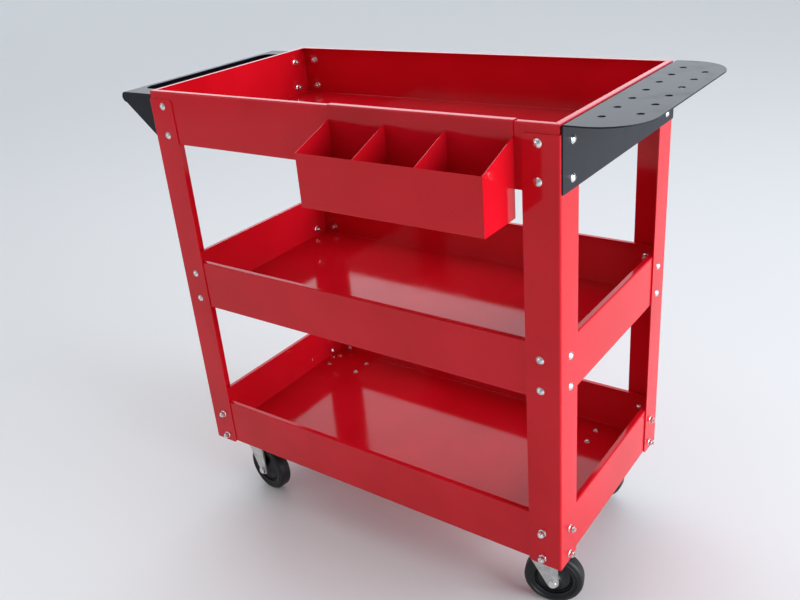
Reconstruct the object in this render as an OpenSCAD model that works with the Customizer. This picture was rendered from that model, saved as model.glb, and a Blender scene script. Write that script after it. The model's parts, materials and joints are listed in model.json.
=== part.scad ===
// Three-tray utility cart on four swivel casters.
// Corner posts carry the trays, a push handle, a tool rack and a lift-off side bin.
// X runs along the cart, Y across it, Z up from the floor.

/* [Cart] */
// Length over the corner posts
cart_l = 762; // [650:1:920]
// Width over the corner posts
cart_w = 402; // [335:1:485]
// Height of the top rim above the floor
rim_z = 826; // [790:1:990]

/* [Trays] */
// Height of a tray's wall
tray_h = 90; // [86:1:108]
// Sheet thickness of a tray
tray_t = 1.2; // [1:0.1:1.5]
// Outside radius of a tray's folds
tray_r = 2.6; // [2.2:0.1:3]
// Width of the folded rim
hem_w = 9; // [7:0.5:11]
// Drop from the top rim to the middle rim
middle_drop = 309; // [258:1:340]

/* [Corner posts] */
// Length of each leg of the angle
post_leg = 54; // [48:1:60]
// Sheet thickness of the posts
post_t = 2; // [1.6:0.1:2.4]
// Outside radius of the post's fold
post_r = 3.4; // [3:0.1:4]
// Distance from the top rim down to the post's top
post_drop = 13; // [8:1:16]
// How far the post reaches below the bottom tray
post_foot = 3; // [1:0.5:5]

/* [Tray screws] */
// Shank radius of the tray screws
screw_r = 3; // [2.5:0.5:3]
// Distance from the post's corner to a screw
screw_inset = 31.5; // [26:0.5:34]
// Depth of the upper screw below the rim
screw_drop = 25; // [22:0.5:28]
// Distance between the two screws of a pair
screw_pitch = 50; // [40:0.5:52]
// Extra drop of the bottom tray's screws
screw_shift = 6; // [2:0.5:6]

/* [Push handle] */
// Reach of the push handle beyond the post
push_reach = 84; // [74:1:98]
// Radius of the rounded grip rail
grip_r = 9; // [8:0.5:10]
// Distance of the handle's top below the rim
push_drop = 8; // [6:1:12]
// Distance of the handle's ends from the post's side
push_inset = 9; // [6:1:14]
// Sheet thickness of both handles
handle_t = 2; // [1.6:0.1:2.4]

/* [Tool rack] */
// Reach of the tool rack beyond the post
rack_reach = 95; // [86:1:108]
// Corner radius of the rack's shelf
rack_corner = 70; // [50:1:80]
// Radius of a tool hole
tool_hole_r = 5.2; // [4:0.1:7]
// Distance between tool holes in a row
tool_pitch = 49.5; // [36:0.5:52]
// Distance of the inner row from the post
tool_row_in = 29.5; // [24:0.5:34]
// Distance of the outer row from the post
tool_row_out = 69.5; // [60:0.5:74]

/* [Side bin] */
// Length of the bin
bin_l = 302; // [250:1:330]
// Depth of the bin from back to front
bin_d = 80; // [66:1:96]
// Depth of the bin's floor below the rim
bin_drop = 129; // [110:1:140]
// Height of the bin's front panel
bin_front = 81; // [60:1:88]
// Offset of the bin from the middle of the cart
bin_x = 165; // [120:1:170]
// Sheet thickness of the bin
bin_t = 1.2; // [1:0.1:1.5]

/* [Casters] */
// Overall height of a caster
caster_h = 127; // [122:1:150]
// Radius of a wheel
wheel_r = 49; // [40:0.5:50]
// Width of a tyre
tyre_w = 28; // [24:1:30]
// Distance of the axle behind the swivel axis
trail = 24; // [22:1:32]
// Distance of the swivel axis from the cart's end
caster_in_x = 64; // [61:1:90]
// Distance of the swivel axis from the cart's side
caster_in_y = 53; // [48:1:64]
// Radius of the swivel pin
kingpin_r = 6; // [5:0.5:7]
// Radius of the axle
axle_r = 4; // [3.5:0.5:4.5]

/* [Caster swivel] */
// Angle the front left caster stands at
turn_fl = -8; // [-45:1:45]
// Angle the front right caster stands at
turn_fr = 18; // [-45:1:45]
// Angle the back left caster stands at
turn_bl = 0; // [-45:1:45]
// Angle the back right caster stands at
turn_br = 180; // [135:1:225]

/* [Hidden] */
$fn = 48;
hole_gap = 0.3;
run_gap = 0.06;
lift_gap = 0.4;
side_gap = 0.4;

tray_l = cart_l - 2 * post_t;
tray_w = cart_w - 2 * post_t;
inner_l = tray_l - 2 * tray_t;
inner_w = tray_w - 2 * tray_t;
inner_h = tray_h - 2 * tray_t;
tray_corner = post_r - post_t + 1;
top_z = rim_z - tray_h;
middle_z = rim_z - middle_drop - tray_h;
bottom_z = caster_h;
post_z = bottom_z - post_foot;
post_h = rim_z - post_drop - post_z;

top_screws = [for (i = [0, 1]) rim_z - screw_drop - i * screw_pitch];
middle_screws = [for (i = [0, 1]) middle_z + tray_h - screw_drop - i * screw_pitch];
bottom_screws = [for (i = [0, 1]) bottom_z + tray_h - screw_drop - screw_shift - i * screw_pitch];
all_screws = concat(top_screws, middle_screws, bottom_screws);

head_r = 6.2;
head_h = 3.6;
nut_af = 10;
nut_h = 5;
flange_r = 6.6;
flange_h = 1.2;
tail = 3;

bin_y = -tray_w / 2 - lift_gap;
bin_side_drop = 19;
bin_front_drop = bin_drop - bin_front;
divider_t = 1;

slot_in = 12;
slot_out = push_reach - 2 * grip_r;
slot_end = 33;

plate_l = 98;
plate_w = 62;
plate_t = 2.5;
plate_hole_x = 39;
plate_hole_y = 20;
recess_r = 20;
recess_h = 3;
race_r = 23;
race_h = 3.2;
swivel_gap = 0.4;
crown_z = caster_h - plate_t - recess_h - race_h - swivel_gap;
crown_r = 27;
fork_t = 2.8;
fork_gap = 36;
fork_w = fork_gap + 2 * fork_t;
fork_front = -22;
fork_back = 28;
tab_r = 10;
sleeve_r = 6.5;
hub_w = fork_gap - 2 * side_gap;
core_r = 36;

// Shift that puts the outline's middle on the origin
mid_x = (rack_reach - push_reach) / 2;
back_y = cart_w / 2 + flange_h + nut_h + tail;
front_y = bin_y - bin_d;
mid_y = (back_y + front_y) / 2;

CORNERS = [["fl", -1, -1], ["fr", 1, -1], ["bl", -1, 1], ["br", 1, 1]];
// Sub-part to draw

// ---------- shared shapes ----------

// Rounded rectangle standing on the X axis
module round_rect(w, h, r) {
    translate([-w / 2 + r, 0])
        square([w - 2 * r, h]);
    translate([-w / 2, r])
        square([w, h - 2 * r]);
    for (x = [-1, 1], y = [r, h - r])
        translate([x * (w / 2 - r), y])
            circle(r);
}

// Quarter of a bent sheet, its outside towards -X and -Y
module bend(r, t) {
    translate([r, r])
        intersection() {
            difference() {
                circle(r);
                circle(r - t);
            }
            translate([-r, -r])
                square(r);
        }
}

// Box with round corners whose eight long folds are round and meet in mitres
module folded_box(l, w, h, r, corner) {
    intersection() {
        translate([0, -w / 2, 0])
            linear_extrude(h)
                round_rect(l, w, corner);
        rotate([90, 0, 90])
            linear_extrude(l + 2, center = true)
                round_rect(w, h, r);
        rotate([90, 0, 0])
            linear_extrude(w + 2, center = true)
                round_rect(l, h, r);
    }
}

// Puts the children at the screws of one post flange pair, +Z pointing out
module at_end_screws(sx, sy, heights, out) {
    for (z = heights)
        translate([sx * (cart_l / 2 + out), sy * (cart_w / 2 - screw_inset), z])
            rotate([0, 90 * sx, 0])
                children();
}

module at_side_screws(sx, sy, heights, out) {
    for (z = heights)
        translate([sx * (cart_l / 2 - screw_inset), sy * (cart_w / 2 + out), z])
            rotate([-90 * sy, 0, 0])
                children();
}

module at_all_screws(heights, end_out, side_out) {
    for (c = CORNERS) {
        at_end_screws(c[1], c[2], heights, end_out)
            children();
        at_side_screws(c[1], c[2], heights, side_out)
            children();
    }
}

// Screw with a domed head that sits on z = 0, shank pointing down
module screw(grip) {
    dome = (head_r * head_r + head_h * head_h) / (2 * head_h);
    rotate_extrude()
        intersection() {
            translate([0, head_h - dome])
                circle(dome);
            square([head_r, head_h]);
        }
    translate([0, 0, -grip])
        cylinder(h = grip, r = screw_r);
}

// Flanged hex nut hanging below z = 0
module flange_nut(bore) {
    difference() {
        union() {
            translate([0, 0, -flange_h])
                cylinder(h = flange_h, r = flange_r);
            translate([0, 0, -flange_h - nut_h])
                cylinder(h = nut_h, r = nut_af / 2 / cos(30), $fn = 6);
        }
        translate([0, 0, -flange_h - nut_h - 1])
            cylinder(h = flange_h + nut_h + 2, r = bore);
    }
}

// ---------- frame ----------

// Upright plate with its two free corners rounded
module post_leaf() {
    r = 6;
    translate([post_r, 0])
        square([post_leg - post_r - r, post_h]);
    translate([post_leg - r, r])
        square([r, post_h - 2 * r]);
    for (y = [r, post_h - r])
        translate([post_leg - r, y])
            circle(r);
}

// Angle with its outside corner on the Z axis and its legs along +X and +Y
module post_angle() {
    translate([0, post_t, 0])
        rotate([90, 0, 0])
            linear_extrude(post_t)
                post_leaf();
    rotate([90, 0, 90])
        linear_extrude(post_t)
            post_leaf();
    linear_extrude(post_h)
        bend(post_r, post_t);
}

module post(sx, sy) {
    color([0.72, 0.06, 0.09])
        difference() {
            translate([sx * cart_l / 2, sy * cart_w / 2, post_z])
                mirror([sx > 0 ? 1 : 0, 0, 0])
                    mirror([0, sy > 0 ? 1 : 0, 0])
                        post_angle();
            at_end_screws(sx, sy, all_screws, 0)
                cylinder(h = 4 * post_t, r = screw_r + hole_gap, center = true);
            at_side_screws(sx, sy, all_screws, 0)
                cylinder(h = 4 * post_t, r = screw_r + hole_gap, center = true);
        }
}

module tray(z0, heights) {
    color([0.78, 0.07, 0.1])
        difference() {
            translate([0, 0, z0])
                folded_box(tray_l, tray_w, tray_h, tray_r, tray_corner);
            translate([0, 0, z0 + tray_t])
                folded_box(inner_l, inner_w, inner_h, tray_r - tray_t, tray_corner - tray_t);
            translate([hem_w - tray_l / 2, hem_w - tray_w / 2, z0 + tray_h / 2])
                cube([tray_l - 2 * hem_w, tray_w - 2 * hem_w, tray_h]);
            at_all_screws(heights, -post_t, -post_t)
                cylinder(h = 4 * tray_t, r = screw_r + hole_gap, center = true);
            if (z0 == bottom_z)
                at_caster_bolts()
                    cylinder(h = 4 * tray_t, r = screw_r + hole_gap, center = true);
        }
}

module tray_bolts(heights, end_extra) {
    grip = post_t + tray_t + flange_h + nut_h + tail;
    color([0.82, 0.83, 0.86])
        for (c = CORNERS) {
            at_end_screws(c[1], c[2], heights, end_extra)
                screw(grip + end_extra);
            at_side_screws(c[1], c[2], heights, 0)
                screw(grip);
        }
}

module tray_nuts(heights) {
    color([0.72, 0.73, 0.76])
        at_all_screws(heights, -post_t - tray_t, -post_t - tray_t)
            flange_nut(screw_r + hole_gap / 3);
}

// The lowest screws run the other way, with their nuts outside
module reversed_bolts(heights) {
    color([0.82, 0.83, 0.86])
        at_all_screws(heights, -post_t - tray_t, -post_t - tray_t)
            rotate([180, 0, 0])
                screw(post_t + tray_t + flange_h + nut_h + tail);
}

module reversed_nuts(heights) {
    color([0.72, 0.73, 0.76])
        at_all_screws(heights, 0, 0)
            rotate([180, 0, 0])
                flange_nut(screw_r + hole_gap / 3);
}

// ---------- push handle ----------

// Side outline of the folded sheet: u is the reach, v the height from the rim
module push_sheet_outline() {
    u = push_reach - grip_r;
    v = -push_drop - grip_r;
    t = handle_t;
    translate([0, 1 - tray_h])
        square([t, tray_h - 1 - push_drop - post_r]);
    translate([0, -push_drop])
        mirror([0, 1])
            bend(post_r, t);
    translate([post_r, -push_drop - t])
        square([u - post_r, t]);
    translate([u, v])
        difference() {
            circle(grip_r);
            circle(grip_r - t);
            translate([-2 * grip_r, -2 * grip_r])
                square([2 * grip_r, 4 * grip_r]);
        }
    translate([u - 6, v - grip_r])
        square([6, t]);
}

// Side outline of the closed end plate, tangent to the grip rail
module push_gusset_outline() {
    u = push_reach - grip_r;
    v = -push_drop - grip_r;
    low = 1 - tray_h;
    d = norm([u, v - low]);
    a = atan2(v - low, u) - asin(grip_r / d);
    run = sqrt(d * d - grip_r * grip_r);
    polygon([
        [0, low], [run * cos(a), low + run * sin(a)], [u, v], [u, -push_drop],
        [post_r, -push_drop], [post_r, -push_drop - post_r], [0, -push_drop - post_r]
    ]);
    translate([u, v])
        circle(grip_r);
    translate([post_r, -push_drop - post_r])
        circle(post_r);
}

module handle_push() {
    w = cart_w - 2 * push_inset;
    color([0.07, 0.07, 0.08])
        difference() {
            translate([-cart_l / 2, 0, rim_z])
                mirror([1, 0, 0]) {
                    rotate([90, 0, 0])
                        linear_extrude(w, center = true)
                            push_sheet_outline();
                    for (y = [-w / 2, w / 2 - handle_t])
                        translate([0, y + handle_t, 0])
                            rotate([90, 0, 0])
                                linear_extrude(handle_t)
                                    push_gusset_outline();
                }
            translate([-cart_l / 2 - (slot_in + slot_out) / 2, slot_end - w / 2, rim_z - push_drop - 3])
                linear_extrude(5)
                    round_rect(slot_out - slot_in, w - 2 * slot_end, 19);
            for (sy = [-1, 1])
                at_end_screws(-1, sy, top_screws, 0)
                    cylinder(h = 4 * handle_t, r = screw_r + hole_gap, center = true);
        }
}

// ---------- tool rack ----------

module rack_shelf_outline() {
    half = cart_w / 2 - 2.5;
    root = rack_reach - rack_corner;
    translate([post_r, -half])
        square([root - post_r, 2 * half]);
    translate([root, rack_corner - half])
        square([rack_corner, 2 * (half - rack_corner)]);
    for (s = [-1, 1])
        translate([root, s * (half - rack_corner)])
            intersection() {
                circle(rack_corner);
                translate([0, s > 0 ? 0 : -rack_corner])
                    square(rack_corner);
            }
}

module handle_tool_rack() {
    w = cart_w - 5;
    color([0.07, 0.07, 0.08])
        difference() {
            translate([cart_l / 2, 0, rim_z]) {
                translate([0, -w / 2, -tray_h])
                    cube([handle_t, w, tray_h - post_r]);
                rotate([90, 0, 0])
                    linear_extrude(w, center = true)
                        mirror([0, 1])
                            bend(post_r, handle_t);
                translate([0, 0, -handle_t])
                    linear_extrude(handle_t)
                        rack_shelf_outline();
            }
            for (i = [-3:3])
                translate([cart_l / 2 + tool_row_in, i * tool_pitch, rim_z - handle_t])
                    cylinder(h = 4 * handle_t, r = tool_hole_r, center = true);
            for (i = [-2.5:2.5])
                translate([cart_l / 2 + tool_row_out, i * tool_pitch, rim_z - handle_t])
                    cylinder(h = 4 * handle_t, r = tool_hole_r, center = true);
            for (sy = [-1, 1])
                at_end_screws(1, sy, top_screws, 0)
                    cylinder(h = 4 * handle_t, r = screw_r + hole_gap, center = true);
        }
}

// ---------- side bin ----------

// Cross-section of a wall or divider: front at -bin_d, back at zero, rim at zero
module bin_wall_outline(inset) {
    low = inset - bin_drop;
    polygon([
        [-inset, low], [inset - bin_d, low],
        [inset - bin_d, -bin_front_drop], [-inset, -bin_side_drop]
    ]);
}

// Cross-section of the folded sheet: hook, back, floor and front
module bin_sheet_outline() {
    t = bin_t;
    hook = hem_w + 2 * lift_gap + 2 * t;
    translate([-t, -bin_drop])
        square([t, bin_drop + lift_gap]);
    translate([-t, lift_gap])
        square([hook, t]);
    translate([hook - 2 * t, -14])
        square([t, 14 + lift_gap]);
    translate([-bin_d, -bin_drop])
        square([bin_d, t]);
    translate([-bin_d, -bin_drop])
        square([t, bin_front]);
}

module bin_slice(x, width) {
    translate([x, bin_y, rim_z])
        rotate([90, 0, 90])
            linear_extrude(width)
                children();
}

module bin_shell() {
    color([0.78, 0.07, 0.1]) {
        bin_slice(bin_x - bin_l / 2, bin_l)
            bin_sheet_outline();
        for (x = [bin_x - bin_l / 2, bin_x + bin_l / 2 - bin_t])
            bin_slice(x, bin_t)
                bin_wall_outline(0);
    }
}

module bin_divider(side) {
    color([0.78, 0.07, 0.1])
        bin_slice(bin_x + side * bin_l / 6 - divider_t / 2, divider_t)
            bin_wall_outline(bin_t);
}

// ---------- casters ----------

module at_caster(sx, sy) {
    translate([sx * (cart_l / 2 - caster_in_x), sy * (cart_w / 2 - caster_in_y), 0])
        children();
}

module at_caster_bolts() {
    for (c = CORNERS, x = [-1, 1], y = [-1, 1])
        at_caster(c[1], c[2])
            translate([x * plate_hole_x, y * plate_hole_y, bottom_z])
                children();
}

module caster_mount_bolts() {
    color([0.82, 0.83, 0.86])
        at_caster_bolts()
            translate([0, 0, tray_t])
                screw(tray_t + plate_t + nut_h + 1.5);
}

module caster_mount_nuts() {
    color([0.72, 0.73, 0.76])
        at_caster_bolts()
            translate([0, 0, -plate_t - nut_h])
                difference() {
                    cylinder(h = nut_h, r = nut_af / 2 / cos(30), $fn = 6);
                    translate([0, 0, -1])
                        cylinder(h = nut_h + 2, r = screw_r + hole_gap / 3);
                }
}

module caster_plate() {
    color([0.66, 0.67, 0.7])
        difference() {
            union() {
                translate([0, -plate_w / 2, caster_h - plate_t])
                    linear_extrude(plate_t)
                        round_rect(plate_l, plate_w, 8);
                translate([0, 0, caster_h - plate_t - recess_h])
                    cylinder(h = recess_h + 1, r = recess_r + plate_t);
            }
            translate([0, 0, caster_h - recess_h])
                cylinder(h = recess_h + 1, r = recess_r);
            translate([0, 0, caster_h - 3 * recess_h])
                cylinder(h = 4 * recess_h, r = kingpin_r + run_gap);
            for (x = [-1, 1], y = [-1, 1])
                translate([x * plate_hole_x, y * plate_hole_y, caster_h - 2 * plate_t])
                    cylinder(h = 3 * plate_t, r = screw_r + hole_gap);
        }
}

// Ring that holds the swivel balls against the plate
module caster_race() {
    color([0.5, 0.51, 0.54])
        translate([0, 0, crown_z + swivel_gap])
            rotate_extrude()
                difference() {
                    union() {
                        translate([12, 0])
                            square([race_r - 12 - race_h / 2, race_h]);
                        translate([race_r - race_h / 2, race_h / 2])
                            circle(race_h / 2);
                    }
                    square([12, race_h]);
                }
}

module caster_kingpin() {
    bottom = crown_z - fork_t - swivel_gap;
    color([0.74, 0.75, 0.78]) {
        translate([0, 0, caster_h - recess_h])
            cylinder(h = 2.4, r = 11);
        translate([0, 0, bottom])
            cylinder(h = caster_h - recess_h - bottom, r = kingpin_r);
        translate([0, 0, bottom - 3.4])
            cylinder(h = 3.4, r = 10);
    }
}

// Side view of a fork leg, wide at the crown and round at the axle
module fork_leg_outline() {
    top = crown_z + 1;
    run_f = norm([trail - fork_front, top - wheel_r]);
    a_f = atan2(wheel_r - top, trail - fork_front) - asin(tab_r / run_f);
    len_f = sqrt(run_f * run_f - tab_r * tab_r);
    run_b = norm([trail - fork_back, top - wheel_r]);
    a_b = atan2(wheel_r - top, trail - fork_back) + asin(tab_r / run_b);
    len_b = sqrt(run_b * run_b - tab_r * tab_r);
    polygon([
        [fork_front, top],
        [fork_front + len_f * cos(a_f), top + len_f * sin(a_f)],
        [trail, wheel_r],
        [fork_back + len_b * cos(a_b), top + len_b * sin(a_b)],
        [fork_back, top]
    ]);
    translate([trail, wheel_r])
        circle(tab_r);
}

// End view of the fork: a crown with two legs hanging from it
module fork_end_outline() {
    difference() {
        round_rect(fork_w, crown_z, 4);
        translate([0, -5])
            round_rect(fork_gap, crown_z + 5 - fork_t, 1.2);
    }
}

module caster_fork() {
    color([0.7, 0.71, 0.74])
        difference() {
            union() {
                intersection() {
                    rotate([90, 0, 90])
                        linear_extrude(140, center = true)
                            fork_end_outline();
                    rotate([90, 0, 0])
                        linear_extrude(fork_w + 2, center = true)
                            fork_leg_outline();
                }
                translate([0, 0, crown_z - fork_t])
                    cylinder(h = fork_t, r = crown_r);
            }
            translate([0, 0, crown_z - 2 * fork_t])
                cylinder(h = 4 * fork_t, r = kingpin_r + run_gap);
            translate([trail, 0, wheel_r])
                rotate([90, 0, 0])
                    cylinder(h = fork_w + 4, r = axle_r + hole_gap / 2, center = true);
        }
}

module swung(angle) {
    rotate([0, 0, angle])
        children();
}

// Turns the children so that +Z points along -Y from the wheel's centre
module at_axle() {
    translate([trail, 0, wheel_r])
        rotate([90, 0, 0])
            children();
}

module caster_axle() {
    color([0.8, 0.81, 0.84])
        at_axle() {
            translate([0, 0, fork_w / 2])
                cylinder(h = 5, r = 13 / 2 / cos(30), $fn = 6);
            translate([0, 0, -fork_w / 2 - 8])
                cylinder(h = fork_w + 8, r = axle_r);
        }
}

module caster_axle_nut() {
    color([0.72, 0.73, 0.76])
        at_axle()
            translate([0, 0, -fork_w / 2 - 6])
                difference() {
                    cylinder(h = 6, r = 13 / 2 / cos(30), $fn = 6);
                    translate([0, 0, -1])
                        cylinder(h = 8, r = axle_r + hole_gap / 3);
                }
}

module caster_sleeve() {
    color([0.6, 0.61, 0.64])
        at_axle()
            difference() {
                cylinder(h = fork_gap, r = sleeve_r, center = true);
                cylinder(h = fork_gap + 2, r = axle_r + hole_gap / 3, center = true);
            }
}

// Moulded disc with a domed web between its hub and its rim
module wheel_core() {
    bore = sleeve_r + run_gap;
    color([0.06, 0.06, 0.07])
        at_axle()
            rotate_extrude()
                polygon([
                    [bore, -hub_w / 2], [13, -hub_w / 2], [14, -hub_w / 2 + 1],
                    [26, -9], [31, -6], [31.5, -11], [core_r, -11],
                    [core_r, 11], [31.5, 11], [31, 6], [26, 9],
                    [14, hub_w / 2 - 1], [13, hub_w / 2], [bore, hub_w / 2]
                ]);
}

module wheel_tyre() {
    shoulder = 7;
    color([0.05, 0.05, 0.055])
        at_axle()
            rotate_extrude()
                difference() {
                    union() {
                        translate([core_r, -11])
                            square([wheel_r - core_r - shoulder, 22]);
                        translate([core_r + 3, -tyre_w / 2])
                            square([wheel_r - core_r - shoulder - 3, tyre_w]);
                        translate([core_r + 3, shoulder - tyre_w / 2])
                            square([wheel_r - core_r - 3, tyre_w - 2 * shoulder]);
                        for (y = [-1, 1])
                            translate([wheel_r - shoulder, y * (tyre_w / 2 - shoulder)])
                                circle(shoulder);
                    }
                    translate([0, -tyre_w])
                        square([core_r, 2 * tyre_w]);
                }
}

// ---------- drawing ----------

// Moves the cart so that the middle of its outline stands on the origin
module placed() {
    translate([-mid_x, -mid_y, 0])
        children();
}

placed() post(-1, -1);  // post_front_left
placed() post(1, -1);  // post_front_right
placed() post(-1, 1);  // post_back_left
placed() post(1, 1);  // post_back_right
placed() tray(top_z, top_screws);  // tray_top
placed() tray(middle_z, middle_screws);  // tray_middle
placed() tray(bottom_z, bottom_screws);  // tray_bottom
placed() handle_push();
placed() handle_tool_rack();
placed() bin_shell();
placed() bin_divider(-1);  // bin_divider_left
placed() bin_divider(1);  // bin_divider_right
placed() tray_bolts(top_screws, handle_t);  // top_tray_bolts
placed() tray_nuts(top_screws);  // top_tray_nuts
placed() tray_bolts(middle_screws, 0);  // middle_tray_bolts
placed() tray_nuts(middle_screws);  // middle_tray_nuts
placed() reversed_bolts(bottom_screws);  // bottom_tray_bolts
placed() reversed_nuts(bottom_screws);  // bottom_tray_nuts
placed() caster_mount_bolts();
placed() caster_mount_nuts();
placed() at_caster(-1, -1) caster_plate();  // caster_plate_fl
placed() at_caster(-1, -1) caster_race();  // caster_race_fl
placed() at_caster(-1, -1) caster_kingpin();  // caster_kingpin_fl
placed() at_caster(-1, -1) swung(turn_fl) caster_fork();  // caster_fork_fl
placed() at_caster(-1, -1) swung(turn_fl) caster_axle();  // caster_axle_fl
placed() at_caster(-1, -1) swung(turn_fl) caster_axle_nut();  // caster_axle_nut_fl
placed() at_caster(-1, -1) swung(turn_fl) caster_sleeve();  // caster_sleeve_fl
placed() at_caster(-1, -1) swung(turn_fl) wheel_core();  // wheel_core_fl
placed() at_caster(-1, -1) swung(turn_fl) wheel_tyre();  // wheel_tyre_fl
placed() at_caster(1, -1) caster_plate();  // caster_plate_fr
placed() at_caster(1, -1) caster_race();  // caster_race_fr
placed() at_caster(1, -1) caster_kingpin();  // caster_kingpin_fr
placed() at_caster(1, -1) swung(turn_fr) caster_fork();  // caster_fork_fr
placed() at_caster(1, -1) swung(turn_fr) caster_axle();  // caster_axle_fr
placed() at_caster(1, -1) swung(turn_fr) caster_axle_nut();  // caster_axle_nut_fr
placed() at_caster(1, -1) swung(turn_fr) caster_sleeve();  // caster_sleeve_fr
placed() at_caster(1, -1) swung(turn_fr) wheel_core();  // wheel_core_fr
placed() at_caster(1, -1) swung(turn_fr) wheel_tyre();  // wheel_tyre_fr
placed() at_caster(-1, 1) caster_plate();  // caster_plate_bl
placed() at_caster(-1, 1) caster_race();  // caster_race_bl
placed() at_caster(-1, 1) caster_kingpin();  // caster_kingpin_bl
placed() at_caster(-1, 1) swung(turn_bl) caster_fork();  // caster_fork_bl
placed() at_caster(-1, 1) swung(turn_bl) caster_axle();  // caster_axle_bl
placed() at_caster(-1, 1) swung(turn_bl) caster_axle_nut();  // caster_axle_nut_bl
placed() at_caster(-1, 1) swung(turn_bl) caster_sleeve();  // caster_sleeve_bl
placed() at_caster(-1, 1) swung(turn_bl) wheel_core();  // wheel_core_bl
placed() at_caster(-1, 1) swung(turn_bl) wheel_tyre();  // wheel_tyre_bl
placed() at_caster(1, 1) caster_plate();  // caster_plate_br
placed() at_caster(1, 1) caster_race();  // caster_race_br
placed() at_caster(1, 1) caster_kingpin();  // caster_kingpin_br
placed() at_caster(1, 1) swung(turn_br) caster_fork();  // caster_fork_br
placed() at_caster(1, 1) swung(turn_br) caster_axle();  // caster_axle_br
placed() at_caster(1, 1) swung(turn_br) caster_axle_nut();  // caster_axle_nut_br
placed() at_caster(1, 1) swung(turn_br) caster_sleeve();  // caster_sleeve_br
placed() at_caster(1, 1) swung(turn_br) wheel_core();  // wheel_core_br
placed() at_caster(1, 1) swung(turn_br) wheel_tyre();  // wheel_tyre_br
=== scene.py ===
"""Looks of a three-tray sheet-steel service cart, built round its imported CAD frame."""

import json  # noqa: E402
import logging  # noqa: E402
import math  # noqa: E402
from dataclasses import dataclass, field  # noqa: E402
from enum import Enum  # noqa: E402
from typing import Callable, Iterable, Sequence  # noqa: E402

import bmesh  # noqa: E402
import bpy  # noqa: E402
from mathutils import Matrix, Vector  # noqa: E402


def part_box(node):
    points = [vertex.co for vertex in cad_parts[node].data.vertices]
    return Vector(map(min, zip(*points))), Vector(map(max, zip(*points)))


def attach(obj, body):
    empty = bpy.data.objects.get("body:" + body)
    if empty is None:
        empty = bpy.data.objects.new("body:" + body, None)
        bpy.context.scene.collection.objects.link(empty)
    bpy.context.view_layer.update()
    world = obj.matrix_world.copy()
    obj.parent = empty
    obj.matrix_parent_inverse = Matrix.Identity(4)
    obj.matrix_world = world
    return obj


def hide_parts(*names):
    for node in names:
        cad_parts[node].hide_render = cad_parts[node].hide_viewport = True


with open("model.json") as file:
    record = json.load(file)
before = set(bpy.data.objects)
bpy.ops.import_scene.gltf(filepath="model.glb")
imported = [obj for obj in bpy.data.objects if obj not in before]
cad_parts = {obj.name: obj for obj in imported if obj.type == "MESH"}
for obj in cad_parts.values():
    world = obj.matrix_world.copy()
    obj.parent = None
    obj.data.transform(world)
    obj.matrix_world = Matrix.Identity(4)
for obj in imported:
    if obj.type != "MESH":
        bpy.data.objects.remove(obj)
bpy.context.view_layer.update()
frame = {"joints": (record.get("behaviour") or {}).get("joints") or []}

LOG = logging.getLogger("cart")
MM = 0.001
TAU = math.tau
SHARP = math.radians(35)
CASTERS = ("fl", "fr", "bl", "br")
PLATE_SCREW = (39, 20)
Point = tuple[float, float]
Corner = tuple[float, float, float]


class Slot(Enum):
    """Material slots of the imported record."""

    ENAMEL = "red_enamel"
    POWDER = "black_powder_coat"
    BRIGHT = "bright_zinc"
    SATIN = "satin_zinc"
    PLASTIC = "wheel_plastic"
    RUBBER = "tyre_rubber"


class Side(Enum):
    """Side of a drawn sheet line that the metal lies on, seen along the line."""

    LEFT = 1
    RIGHT = -1


# ---------- shader graphs ----------


class Value:
    """A socket that takes part in Python arithmetic by adding Math nodes."""

    def __init__(self, graph: "Graph", socket: bpy.types.NodeSocket) -> None:
        """Wraps a socket.

        Args:
            graph: The graph that the socket belongs to.
            socket: The output socket.
        """
        self.graph = graph
        self.socket = socket

    def _math(self, operation: str, other: "Value | float") -> "Value":
        """Adds a Math node.

        Args:
            operation: The node's operation.
            other: The second operand.

        Returns:
            The node's result.
        """
        return self.graph.node("ShaderNodeMath", {"operation": operation}, {0: self, 1: other})

    def __add__(self, other: "Value | float") -> "Value":
        """Returns the sum."""
        return self._math("ADD", other)

    __radd__ = __add__

    def __mul__(self, other: "Value | float") -> "Value":
        """Returns the product."""
        return self._math("MULTIPLY", other)

    __rmul__ = __mul__

    def ramp(self, low: float, high: float) -> "Value":
        """Smooth step from 0 at low to 1 at high.

        Args:
            low: Value that gives 0.
            high: Value that gives 1.

        Returns:
            The stepped value.
        """
        return self.graph.node(
            "ShaderNodeMapRange",
            {"interpolation_type": "SMOOTHSTEP"},
            {"Value": self, "From Min": low, "From Max": high},
        )


Input = Value | float | tuple[float, ...]


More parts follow.
